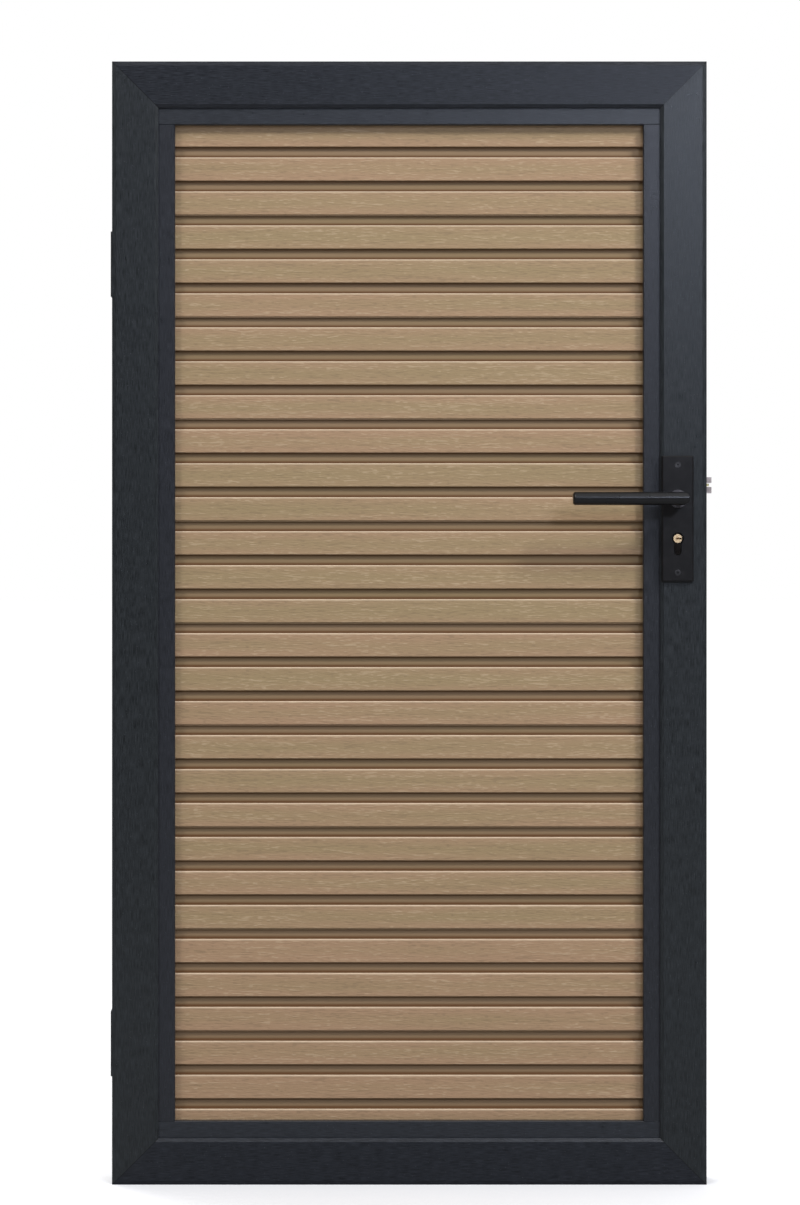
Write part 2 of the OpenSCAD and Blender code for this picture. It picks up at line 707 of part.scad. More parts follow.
module dead_bolt() {
    z0 = dead_bolt_z - dead_bolt_h / 2;
    head_back = half_w - dead_bolt_throw - dead_bolt_stay;
    tail_back = case_back + case_wall + 6;
    color([0.7, 0.68, 0.66]) {
        block([head_back, -dead_bolt_t / 2, z0], [half_w, dead_bolt_t / 2, z0 + dead_bolt_h]);
        block([tail_back, -dead_bolt_t / 2, z0 + 4], [head_back, -dead_bolt_t / 2 + 3, z0 + dead_bolt_h - 4]);
    }
}

// ---------------------------------------------------------------- cylinder

module cylinder_body() color([0.2, 0.19, 0.18]) difference() {
    translate([spindle_x, 0, cyl_z]) rotate([90, 0, 0])
        linear_extrude(2 * cyl_half_l, center = true) cylinder_outline(0);
    translate([spindle_x, 0, cyl_z])
        rod_y(plug_dia / 2 + run_gap, -cyl_half_l - eps, cyl_half_l + eps);
    block([spindle_x - cyl_dia, -cam_gap, web_top], [spindle_x + cyl_dia, cam_gap, cyl_z + cyl_dia]);
    translate([0, 0, cyl_screw_z]) rod_x(cyl_screw_d / 2, spindle_x - cyl_dia, spindle_x + cyl_dia);
}

// Plug at the front with its keyway, which is level while the lock is at rest
module plug() {
    difference() {
        rod_y(plug_dia / 2, -cyl_half_l, -cam_gap);
        block([-keyway_h / 2 + 1.5, -cyl_half_l - eps, -keyway_w / 2],
              [keyway_h / 2 + 1.5, -cyl_half_l + keyway_l, keyway_w / 2]);
    }
}

module front_plug() color([0.85, 0.76, 0.55]) translate([spindle_x, 0, cyl_z]) plug();

module rear_plug() color([0.85, 0.76, 0.55]) translate([spindle_x, 0, cyl_z])
    mirror([0, 1, 0]) plug();

// Ring with a nose between the plugs, driven by the front plug's tip
module cylinder_cam() color([0.6, 0.6, 0.6]) translate([spindle_x, 0, cyl_z]) {
    rod_y(cyl_dia / 2 - 0.2, -cam_half_t, cam_half_t);
    intersection() {
        rod_y(cam_reach, -cam_half_t, cam_half_t);
        rotate([0, 30, 0]) block([-cam_nose_w / 2, -cam_half_t, -cam_reach - eps], [cam_nose_w / 2, cam_half_t, 0]);
    }
}

module cylinder_screw() color("silver") translate([half_w, 0, cyl_screw_z]) rotate([0, 90, 0])
    sunk_screw(cyl_screw_d, 8.6, backset + 6, 2.5);

// ---------------------------------------------------------------- handle set

// Long plate with bevelled edges, on the front; the rear one is its mirror image
module plate() {
    bevel = 2;
    difference() {
        translate([spindle_x, 0, plate_z]) {
            block([-plate_w / 2, -plate_front + bevel, -plate_h / 2], [plate_w / 2, -half_d, plate_h / 2]);
            translate([0, -plate_front, 0]) plate_bevel(bevel);
        }
        translate([spindle_x, 0, spindle_z]) rod_y(bush_dia / 2, -plate_front - eps, -half_d + eps);
        translate([spindle_x, 0, cyl_z]) cylinder_hole(plate_front + eps);
    }
}

// Bevelled front slab of a plate: the crossing of two extruded trapezoids
module plate_bevel(bevel) {
    intersection() {
        linear_extrude(plate_h, center = true)
            polygon([[-plate_w / 2, bevel], [-plate_w / 2 + bevel, 0], [plate_w / 2 - bevel, 0], [plate_w / 2, bevel]]);
        rotate([90, 0, 90]) linear_extrude(plate_w, center = true)
            polygon([[bevel, -plate_h / 2], [0, -plate_h / 2 + bevel], [0, plate_h / 2 - bevel], [bevel, plate_h / 2]]);
    }
}

module front_plate() color([0.1, 0.1, 0.1]) difference() {
    plate();
    for (z = bolt_z) translate([spindle_x, -plate_front, z]) rotate([90, 0, 0])
        sunk_hole(bolt_d, bolt_head_d, plate_t + eps);
}

module rear_plate() color([0.1, 0.1, 0.1]) difference() {
    mirror([0, 1, 0]) plate();
    for (z = bolt_z) translate([spindle_x, plate_front, z]) rotate([-90, 0, 0])
        sunk_hole(sleeve_d, sleeve_d + 4, plate_t + eps);
}

// Collar on the plate with a barrel through it, in which the lever's spigot turns
module bush() difference() {
    union() {
        rod_y(collar_dia / 2, -plate_front - collar_h, -plate_front);
        rod_y(bush_dia / 2, -plate_front, -half_d);
    }
    rod_y(spigot_dia / 2 + run_gap, -plate_front - collar_h - eps, -half_d + eps);
}

module front_bush() color([0.12, 0.12, 0.12]) translate([spindle_x, 0, spindle_z]) bush();

module rear_bush() color([0.12, 0.12, 0.12]) translate([spindle_x, 0, spindle_z])
    mirror([0, 1, 0]) bush();

// Round bar bent square by a mitre, with a rounded tip, a turned spigot and a square socket
module lever() {
    r = lever_dia / 2;
    half = spindle_side / 2 + run_gap;
    s = 2 * lever_l;
    difference() {
        union() {
            rod_y(spigot_dia / 2, -neck_start, -half_d - 1);
            intersection() {
                rod_y(r, -lever_y - r, -neck_start);
                mitre_side([[-s, s], [s, -s], [s, s]]);
            }
            intersection() {
                translate([r, -lever_y, 0]) rotate([0, -90, 0]) lever_bar(r, lever_l + r);
                mitre_side([[-s, s], [s, -s], [-s, -s]]);
            }
        }
        block([-half, -half_d - 1 - socket_l, -half], [half, -half_d, half]);
        translate([0, -grub_y, -r - eps]) cylinder(d = grub_d, h = r + eps - half + 0.2);
    }
}

// One side of the mitre plane, in the lever's own level plane
module mitre_side(outline) {
    translate([0, -lever_y, 0]) linear_extrude(2 * lever_dia, center = true) polygon(outline);
}

// Round bar along +Z with a rounded tip
module lever_bar(r, len) {
    tip = [for (a = [0 : 15 : 90])
        [r - tip_round + tip_round * cos(a), len - tip_round + tip_round * sin(a)]];
    rotate_extrude() polygon(concat([[0, 0], [r, 0]], tip, [[0, len]]));
}

module front_lever() color([0.08, 0.08, 0.08]) translate([spindle_x, 0, spindle_z]) lever();

module rear_lever() color([0.08, 0.08, 0.08]) translate([spindle_x, 0, spindle_z])
    mirror([0, 1, 0]) lever();

module spindle() color("silver")
    block([spindle_x - spindle_side / 2, -spindle_half, spindle_z - spindle_side / 2],
          [spindle_x + spindle_side / 2, spindle_half, spindle_z + spindle_side / 2]);

module grub_screws() color("dimgray") for (m = [0, 1]) mirror([0, m, 0])
    translate([spindle_x, -grub_y, spindle_z - lever_dia / 2 + 0.5]) difference() {
        cylinder(d = grub_d, h = lever_dia / 2 - 0.5 - spindle_side / 2);
        translate([0, 0, -eps]) cylinder(d = 3, h = 2.5 + eps, $fn = 6);
    }

module plate_bolts() color("dimgray") for (z = bolt_z)
    translate([spindle_x, -plate_front, z]) rotate([90, 0, 0])
        sunk_screw(bolt_d, bolt_head_d, plate_front + 14, 3);

// Threaded sleeves that the bolts draw in from the rear
module plate_sleeves() color("dimgray") for (z = bolt_z)
    translate([spindle_x, plate_front, z]) rotate([-90, 0, 0]) difference() {
        sunk_screw(sleeve_d, sleeve_d + 4, plate_front + 4);
        translate([0, 0, -plate_front - 4 - eps]) cylinder(d = bolt_d, h = plate_front);
    }

// ---------------------------------------------------------------- nodes

hinge_stile();
lock_stile();
top_rail();
bottom_rail();
corner_cleats();
cleat_screws();
bead_left();
bead_right();
bead_top();
bead_bottom();
front_gaskets();
rear_gaskets();
setting_blocks();
for (i = [1 : board_count]) board(i);
hinge_leaf_upper();
hinge_leaf_lower();
hinge_post_upper();
hinge_post_lower();
hinge_pins();
hinge_washers();
hinge_screws();
hinge_nuts();
lock_case();
lock_cover();
case_screws();
forend();
forend_clips();
forend_screws();
follower();
handle_spring();
latch_bolt();
latch_insert();
latch_spring();
dead_bolt();
cylinder_body();
front_plug();
rear_plug();
cylinder_cam();
cylinder_screw();
front_plate();
rear_plate();
front_bush();
rear_bush();
front_lever();
rear_lever();
spindle();
grub_screws();
plate_bolts();
plate_sleeves();
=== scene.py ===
"""A garden gate: an anthracite aluminium frame round brown ribbed composite boards, with black levers."""
import math

import bpy
import numpy as np
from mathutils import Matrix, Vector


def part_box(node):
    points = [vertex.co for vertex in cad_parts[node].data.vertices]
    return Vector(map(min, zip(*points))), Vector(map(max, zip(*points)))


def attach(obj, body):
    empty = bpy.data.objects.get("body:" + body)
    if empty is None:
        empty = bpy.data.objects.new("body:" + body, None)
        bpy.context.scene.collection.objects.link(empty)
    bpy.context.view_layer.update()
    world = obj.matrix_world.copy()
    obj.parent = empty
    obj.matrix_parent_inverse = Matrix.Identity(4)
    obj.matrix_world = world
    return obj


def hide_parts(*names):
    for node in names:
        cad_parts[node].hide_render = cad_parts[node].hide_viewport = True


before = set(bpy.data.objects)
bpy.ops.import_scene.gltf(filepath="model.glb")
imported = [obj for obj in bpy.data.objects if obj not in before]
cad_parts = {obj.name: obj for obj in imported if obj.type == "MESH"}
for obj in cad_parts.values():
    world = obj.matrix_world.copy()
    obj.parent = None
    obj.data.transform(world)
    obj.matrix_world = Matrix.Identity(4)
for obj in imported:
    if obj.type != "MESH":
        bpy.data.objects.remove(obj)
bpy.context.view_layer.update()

# ---------------------------------------------------------------- Camera
# A long lens looks level from a little above the middle of the leaf, and a little to the hinge side.
# The shift brings the leaf back to the middle of the frame.
leaf_low, leaf_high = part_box("lock_stile")
mid_height = (leaf_low.z + leaf_high.z) / 2
camera_distance = 4.0
camera_rise = 0.15
camera_to_hinge_side = 0.15
camera_data = bpy.data.cameras.new("camera")
camera_data.sensor_width = 36.0
camera_data.lens = 79.0
camera_data.shift_x = 0.0745
camera_data.shift_y = -0.0652
camera_data.clip_end = 60.0
camera = bpy.data.objects.new("camera", camera_data)
camera.location = (-camera_to_hinge_side, leaf_low.y - camera_distance, mid_height + camera_rise)
camera.rotation_euler = (math.radians(90), 0.0, 0.0)
bpy.context.scene.collection.objects.link(camera)
bpy.context.scene.camera = camera
bpy.context.scene.view_settings.view_transform = "Standard"


# ---------------------------------------------------------------- Frame bars
# Four mitred aluminium extrusions, powder coated in a fine-grained anthracite. The brushed grain
# under the coat runs along each bar, and the level bars are painted a little lighter than the uprights
# as painted reflection, so the tone turns sharply where two bars meet at a mitre.
def srgb(red, green, blue):
    """Linear colour from three 0..255 display values, by the display's own two-part curve."""
    v = np.array([red, green, blue]) / 255.0
    linear = np.where(v <= 0.04045, v / 12.92, ((v + 0.055) / 1.055) ** 2.4)
    return (*linear.tolist(), 1.0)


def feed(tree, socket, value):
    """Gives a socket a plain value, or a link from the output that feeds it."""
    if isinstance(value, bpy.types.NodeSocket):
        tree.links.new(value, socket)
    else:
        socket.default_value = value


def add(tree, kind, inputs=None, **settings):
    """One node in a tree, with its settings and then its inputs set by name or place."""
    node = tree.nodes.new(kind)
    for name, value in settings.items():
        setattr(node, name, value)
    for name, value in (inputs or {}).items():
        feed(tree, node.inputs[name], value)
    return node


def new_material(name, **constants):
    """An empty material with its Principled shader, whose plain sockets are set by name."""
    material = bpy.data.materials.new(name)
    material.use_nodes = True
    tree = material.node_tree
    shader = tree.nodes["Principled BSDF"]
    for socket, value in constants.items():
        shader.inputs[socket.replace("_", " ")].default_value = value
    place = add(tree, "ShaderNodeTexCoord")
    return material, tree, shader, place.outputs["Object"]


def new_group(name, inputs, outputs):
    """An empty node group with named inputs (with defaults) and named outputs."""
    group = bpy.data.node_groups.new(name, "ShaderNodeTree")
    kinds = {"vector": "NodeSocketVector", "value": "NodeSocketFloat"}
    for socket, (kind, default) in inputs.items():
        made = group.interface.new_socket(name=socket, in_out="INPUT", socket_type=kinds[kind])
        if default is not None:
            made.default_value = default
    for socket, kind in outputs.items():
        group.interface.new_socket(name=socket, in_out="OUTPUT", socket_type=kinds[kind])
    return group, group.nodes.new("NodeGroupInput"), group.nodes.new("NodeGroupOutput")


def place_group(tree, group, **inputs):
    """A node that shows a group, with its inputs set by name."""
    return add(tree, "ShaderNodeGroup", inputs, node_tree=group)


def maths(tree, operation, first, second=0.0):
    """The output of a Math node on two values or sockets."""
    return add(tree, "ShaderNodeMath", {0: first, 1: second}, operation=operation).outputs[0]


def ramp(tree, factor, low, high):
    """A 0..1 value that rises smoothly as factor goes from low to high."""
    node = add(tree, "ShaderNodeMapRange", {"Value": factor, "From Min": low, "From Max": high},
               interpolation_type="SMOOTHSTEP")
    return node.outputs["Result"]


def blend_colour(tree, factor, first, second):
    """The output of a Mix node, whose colour sockets are inputs 6 and 7 and output 2."""
    return add(tree, "ShaderNodeMix", {0: factor, 6: first, 7: second}, data_type="RGBA").outputs[2]


def bump(tree, height, strength, distance):
    """A bumped normal from a height."""
    node = add(tree, "ShaderNodeBump", {"Height": height, "Strength": strength, "Distance": distance})
    return node.outputs["Normal"]


# Shared effect: fine grain drawn out along one axis, and a slow mottle
grain, grain_in, grain_out = new_group(
    "drawn_grain",
    {"Place": ("vector", None), "Stretch": ("vector", (1.0, 1.0, 1.0)), "Fineness": ("value", 900.0)},
    {"Grain": "value", "Mottle": "value"})
drawn = add(grain, "ShaderNodeVectorMath", {0: grain_in.outputs["Place"], 1: grain_in.outputs["Stretch"]},
            operation="MULTIPLY")
fibres = add(grain, "ShaderNodeTexNoise",
             {"Vector": drawn.outputs[0], "Scale": grain_in.outputs["Fineness"], "Detail": 3.0,
              "Roughness": 0.6})
mottle = add(grain, "ShaderNodeTexNoise",
             {"Vector": grain_in.outputs["Place"], "Scale": 90.0, "Detail": 5.0, "Roughness": 0.62})
grain.links.new(fibres.outputs["Fac"], grain_out.inputs["Grain"])
grain.links.new(mottle.outputs["Fac"], grain_out.inputs["Mottle"])

along_upright = (1.0, 1.0, 0.035)
along_level = (0.035, 1.0, 1.0)
leaf_half_width = leaf_high.x
leaf_top = leaf_high.z


def mitre_line(tree, place):
    """1 on the hairline where two bars meet: the corner's two distances to the leaf's edges are equal."""
    split = add(tree, "ShaderNodeSeparateXYZ", {"Vector": place})
    from_side = maths(tree, "SUBTRACT", leaf_half_width, maths(tree, "ABSOLUTE", split.outputs["X"]))
    from_top = maths(tree, "SUBTRACT", leaf_top, split.outputs["Z"])
    from_end = maths(tree, "MINIMUM", split.outputs["Z"], from_top)
    apart = maths(tree, "ABSOLUTE", maths(tree, "SUBTRACT", from_side, from_end))
    return maths(tree, "SUBTRACT", 1.0, ramp(tree, apart, 0.0003, 0.0009))


def coated_aluminium(name, stretch, dark, light, with_mitre, gloss=0.35):
    """Powder coat: a dark base with faint drawn lines and mottle, a few pale specks, and orange peel."""
    material, tree, shader, place = new_material(name, Specular_IOR_Level=gloss)
    lines = place_group(tree, grain, Place=place, Stretch=stretch, Fineness=1500.0)
    fine_tone = maths(tree, "MULTIPLY", ramp(tree, lines.outputs["Grain"], 0.38, 0.62), 0.75)
    slow_tone = maths(tree, "MULTIPLY", ramp(tree, lines.outputs["Mottle"], 0.25, 0.75), 0.25)
    tone = maths(tree, "ADD", fine_tone, slow_tone)
    colour = blend_colour(tree, tone, dark, light)
    cells = add(tree, "ShaderNodeTexVoronoi", {"Vector": place, "Scale": 420.0}, feature="F1")
    pick = add(tree, "ShaderNodeSeparateColor", {"Color": cells.outputs["Color"]})
    speck = maths(tree, "MULTIPLY", maths(tree, "LESS_THAN", cells.outputs["Distance"], 0.2),
                  maths(tree, "GREATER_THAN", pick.outputs[0], 0.95))
    colour = blend_colour(tree, maths(tree, "MULTIPLY", speck, 0.4), colour, srgb(92, 96, 102))
    if with_mitre:
        colour = blend_colour(tree, mitre_line(tree, place), colour, srgb(8, 9, 10))
    peel = add(tree, "ShaderNodeTexNoise", {"Vector": place, "Scale": 1500.0, "Detail": 1.0})
    height = maths(tree, "ADD", lines.outputs["Grain"], maths(tree, "MULTIPLY", peel.outputs["Fac"], 0.5))
    tree.links.new(colour, shader.inputs["Base Color"])
    rough = add(tree, "ShaderNodeMapRange", {"Value": tone, "To Min": 0.27, "To Max": 0.41})
    tree.links.new(rough.outputs["Result"], shader.inputs["Roughness"])
    tree.links.new(bump(tree, height, 0.6, 0.0003), shader.inputs["Normal"])
    return material


def dress(material, *names):
    """Gives CAD nodes their finish."""
    for name in names:
        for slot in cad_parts[name].material_slots:
            slot.material = material


# Painted light and shade: the same coat, painted darker on the uprights and lighter on the level bars
dress(coated_aluminium("upright_bar_coat", along_upright, srgb(12, 16, 18), srgb(38, 42, 45), True),
      "hinge_stile", "lock_stile")
dress(coated_aluminium("level_bar_coat", along_level, srgb(18, 20, 24), srgb(40, 43, 49), True, 0.22),
      "top_rail", "bottom_rail")

# ---------------------------------------------------------------- Beads, gaskets, blocks and cleats
# Square-cut coated beads snap in front of the panel and hold it with black rubber strips.
# Plastic blocks carry the lowest board, and cast cleats key the corners inside the bars.
# Painted light and shade: the same coat again, painted darker on the upright beads than on the level ones
dress(coated_aluminium("upright_bead_coat", along_upright, srgb(21, 23, 27), srgb(38, 40, 46), False),
      "bead_left", "bead_right")
dress(coated_aluminium("level_bead_coat", along_level, srgb(25, 28, 32), srgb(43, 46, 52), False),
      "bead_top", "bead_bottom")


def moulded(name, colour, pale, roughness):
    """Moulded rubber or plastic: a dull skin with faint bloom in patches and a fine pebble."""
    material, tree, shader, place = new_material(name, Roughness=roughness)
    bloom = add(tree, "ShaderNodeTexNoise", {"Vector": place, "Scale": 60.0, "Detail": 4.0})
    pebble = add(tree, "ShaderNodeTexNoise", {"Vector": place, "Scale": 1200.0, "Detail": 2.0})
    mixed = blend_colour(tree, ramp(tree, bloom.outputs["Fac"], 0.4, 0.75), colour, pale)
    tree.links.new(mixed, shader.inputs["Base Color"])
    tree.links.new(bump(tree, pebble.outputs["Fac"], 0.3, 0.0002), shader.inputs["Normal"])
    return material


dress(moulded("gasket_rubber", srgb(20, 20, 20), srgb(38, 38, 37), 0.8), "front_gaskets", "rear_gaskets")
dress(moulded("block_plastic", srgb(26, 26, 27), srgb(36, 36, 36), 0.55), "setting_blocks")


def bright_metal(name, dark, light, roughness, stretch=(1.0, 1.0, 1.0), metallic=1.0):
    """Bare or plated metal: tool marks along one axis, tarnish in patches, and uneven gloss."""
    material, tree, shader, place = new_material(name, Metallic=metallic)
    lines = place_group(tree, grain, Place=place, Stretch=stretch, Fineness=1400.0)
    tarnish = ramp(tree, lines.outputs["Mottle"], 0.35, 0.7)
    tree.links.new(blend_colour(tree, tarnish, light, dark), shader.inputs["Base Color"])
    rough = add(tree, "ShaderNodeMapRange", {"Value": lines.outputs["Grain"], "To Min": roughness - 0.08,
                                             "To Max": roughness + 0.14})
    tree.links.new(rough.outputs["Result"], shader.inputs["Roughness"])
    tree.links.new(bump(tree, lines.outputs["Grain"], 0.25, 0.0001), shader.inputs["Normal"])
    return material


dress(bright_metal("cast_cleat", srgb(150, 151, 153), srgb(190, 191, 192), 0.5), "corner_cleats")
zinc = bright_metal("zinc_plate", srgb(140, 140, 138), srgb(196, 197, 196), 0.32)
dress(zinc, "cleat_screws")

# ---------------------------------------------------------------- Boards
# Ten wood-fibre composite boards with three ribs each lock together by tongue and groove. Each is
# one extrusion, so its section is carried along X, and a roller has pressed wood grain into its face.
board_count = 10
ribs = 3
rib_height = 0.0355
rib_pitch = (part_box("board_2")[0].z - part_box("board_1")[0].z) / ribs
groove_depth = 0.007
lip_height = 0.002
lip_step = 0.003
edge_round = 0.0016
soft_round = 0.0006
crisp_round = 0.0003
floor_round = 0.0018
tongue_front, tongue_rear = 0.001, 0.007
slot_front, slot_rear, slot_height = 0.0006, 0.0074, 0.008
seam_gap = 0.0003
grain_depth = 0.0003
stain_and_shade_reach = 0.004
crest_highlight_reach = 0.0016
stations = 241
arc_points = 5
plain_step = 1.0
face_step = 0.00075
edge_step = 0.0015
floor_step = 0.002


def rounded_outline(corners):
    """Outline through corners (y, z, radius, spacing): a quadratic curve rounds each corner between the
    points one radius before and after it, and the straight that follows is divided by its spacing."""
    points = np.array([c[:2] for c in corners])
    reach = np.array([c[2] for c in corners])[:, None]
    spacing = [c[3] for c in corners]
    back = np.roll(points, 1, axis=0) - points
    ahead = np.roll(points, -1, axis=0) - points
    start = points + reach * back / np.linalg.norm(back, axis=1, keepdims=True)
    end = points + reach * ahead / np.linalg.norm(ahead, axis=1, keepdims=True)
    t = np.linspace(0.0, 1.0, arc_points)[:, None]
    pieces = []
    for k, corner in enumerate(points):
        if reach[k, 0] > 0:
            pieces.append((1 - t) ** 2 * start[k] + 2 * t * (1 - t) * corner + t ** 2 * end[k])
        else:
            pieces.append(points[k:k + 1])
        following = start[(k + 1) % len(points)]
        steps = max(1, round(np.linalg.norm(following - end[k]) / spacing[k]))
        between = np.linspace(0.0, 1.0, steps + 1)[1:-1, None]
        pieces.append(end[k] * (1 - between) + following * between)
    return np.concatenate(pieces)


def board_outline(front, back, height, tongue_top):
    """Section of one board from its rear foot round the slot, up the ribs, over the tongue and down."""
    floor = front + groove_depth
    corners = [(back, 0.0, 0.0, plain_step)]
    corners += [(slot_rear, 0.0, 0.0, plain_step), (slot_rear, slot_height, 0.0, plain_step),
                (slot_front, slot_height, 0.0, plain_step), (slot_front, 0.0, 0.0, plain_step)]
    corners += [(front + lip_step, 0.0, soft_round, plain_step)]
    for k in range(ribs):
        foot = lip_height + k * rib_pitch
        head = foot + rib_height
        inner = front + lip_step if k == 0 else floor
        corners += [(inner, foot, crisp_round, edge_step), (front, foot, edge_round, face_step),
                    (front, head, edge_round, edge_step), (floor, head, floor_round, floor_step)]
    corners += [(floor, height, 0.0, plain_step)]
    if tongue_top > height:
        corners += [(tongue_front, height, 0.0, plain_step),
                    (tongue_front, tongue_top, soft_round, plain_step),
                    (tongue_rear, tongue_top, soft_round, plain_step),
                    (tongue_rear, height, 0.0, plain_step)]
    corners += [(back, height, 0.0, plain_step)]
    return rounded_outline(corners)[::-1]


def value_noise(x, z, cell_x, cell_z, rng):
    """Smooth noise: random values on a grid of cells, joined by a cubic step along each axis."""
    u = (x - x.min()) / cell_x
    v = (z - z.min()) / cell_z
    i = u.astype(int)
    j = v.astype(int)
    grid = rng.random((i.max() + 2, j.max() + 2))
    s = (u - i) ** 2 * (3 - 2 * (u - i))
    t = (v - j) ** 2 * (3 - 2 * (v - j))
    low = grid[i, j] * (1 - s) + grid[i + 1, j] * s
    high = grid[i, j + 1] * (1 - s) + grid[i + 1, j + 1] * s
    return low * (1 - t) + high * t


def pressed_grain(x, z, rng):
    """Height of the pressed grain from 0 to 1: short fibres, gathered into bands by longer streaks."""
    fibres = value_noise(x, z, 0.0065, 0.0011, rng)
    streaks = value_noise(x, z, 0.026, 0.0018, rng)
    bands = value_noise(x, z, 0.14, 0.008, rng)
    return np.clip((0.5 * fibres + 0.3 * streaks + 0.2 * bands - 0.25) / 0.5, 0.0, 1.0)


def carried_along_x(name, outline, xs, shift, layers):
    """A closed outline (y, z) carried along X to each of xs, with caps. Shift is added to every point's y,
    and each layer is an attribute with a value for every point, or for every point of the outline."""
    count, around = len(xs), len(outline)
    co = np.empty((count, around, 3))
    co[:, :, 0] = xs[:, None]
    co[:, :, 1] = outline[:, 0] + shift
    co[:, :, 2] = outline[:, 1]
    i, j = np.meshgrid(np.arange(count - 1), np.arange(around), indexing="ij")
    n = (j + 1) % around
    quads = np.stack([i * around + j, i * around + n, (i + 1) * around + n, (i + 1) * around + j], -1)
    first = np.arange(around)[::-1]
    last = (count - 1) * around + np.arange(around)
    mesh = bpy.data.meshes.new(name)
    mesh.from_pydata(co.reshape(-1, 3), [], [*quads.reshape(-1, 4).tolist(), first.tolist(), last.tolist()])
    for layer, values in layers.items():
        attribute = mesh.attributes.new(layer, "FLOAT", "POINT")
        everywhere = np.broadcast_to(values, (count, around))
        attribute.data.foreach_set("value", np.ascontiguousarray(everywhere, dtype=np.float32).ravel())
    mesh.polygons.foreach_set("use_smooth", np.ones(len(mesh.polygons), bool))
    mesh.set_sharp_from_angle(angle=math.radians(40))
    piece = bpy.data.objects.new(name, mesh)
    bpy.context.scene.collection.objects.link(piece)
    return piece


def composite_wood():
    """Wood-fibre composite: ribs between an olive and a pink tan, pale flecks on raised fibres, a plainer
    groove painted darker as shade, brown stain and painted shade along both its edges, and a painted
    highlight on the crest."""
    material, tree, shader, place = new_material("composite_wood", Specular_IOR_Level=0.25)
    layer = {key: add(tree, "ShaderNodeAttribute", attribute_name=key).outputs["Fac"]
             for key in ("relief", "groove", "stain_and_shade", "crest_highlight", "tone")}
    along = add(tree, "ShaderNodeVectorMath", {0: place, 1: (0.06, 1.0, 1.0)}, operation="MULTIPLY")
    fibre = add(tree, "ShaderNodeTexNoise",
                {"Vector": along.outputs[0], "Scale": 1300.0, "Detail": 4.0, "Roughness": 0.65})
    sweep = add(tree, "ShaderNodeVectorMath", {0: place, 1: (0.7, 1.0, 8.0)}, operation="MULTIPLY")
    cloud = add(tree, "ShaderNodeTexNoise", {"Vector": sweep.outputs[0], "Scale": 4.0, "Detail": 3.0})
    # The tone layer carries each rib's tan and the painted shade across its face
    drift = maths(tree, "ADD", layer["tone"], maths(tree, "SUBTRACT", cloud.outputs["Fac"], 0.5))
    face = blend_colour(tree, ramp(tree, drift, 0.0, 1.0), srgb(146, 126, 93), srgb(157, 128, 100))
    deep = maths(tree, "MULTIPLY", ramp(tree, fibre.outputs["Fac"], 0.5, 0.3), 0.3)
    face = blend_colour(tree, deep, face, srgb(112, 94, 72))
    raised = ramp(tree, layer["relief"], 0.62, 0.95)
    flecks = maths(tree, "MULTIPLY", raised, ramp(tree, fibre.outputs["Fac"], 0.4, 0.6))
    face = blend_colour(tree, maths(tree, "MULTIPLY", flecks, 0.45), face, srgb(190, 168, 138))
    sunk = maths(tree, "SUBTRACT", 1.0, ramp(tree, layer["relief"], 0.0, 0.3))
    pores = maths(tree, "MULTIPLY", sunk, 0.35)
    face = blend_colour(tree, pores, face, srgb(118, 99, 76))
    # Painted shade: the groove floor is painted darker than the ribs' faces, as the shade in the recess
    floor = blend_colour(tree, ramp(tree, drift, 0.0, 1.0), srgb(132, 113, 80), srgb(136, 113, 86))
    colour = blend_colour(tree, layer["groove"], face, floor)
    # Brown stain and painted shade: dark brown lines along the groove's top edge under each rib and along
    # its foot above the next crest
    colour = blend_colour(tree, layer["stain_and_shade"], colour, srgb(90, 59, 29))
    # Painted highlight: a pale band along each rib's top edge, where the light from above catches it
    colour = blend_colour(tree, maths(tree, "MULTIPLY", layer["crest_highlight"], 0.85), colour, srgb(206, 186, 160))
    tree.links.new(colour, shader.inputs["Base Color"])
    rough = add(tree, "ShaderNodeMapRange", {"Value": fibre.outputs["Fac"], "To Min": 0.52, "To Max": 0.75})
    tree.links.new(rough.outputs["Result"], shader.inputs["Roughness"])
    tree.links.new(bump(tree, fibre.outputs["Fac"], 0.4, 0.0003), shader.inputs["Normal"])
    return material


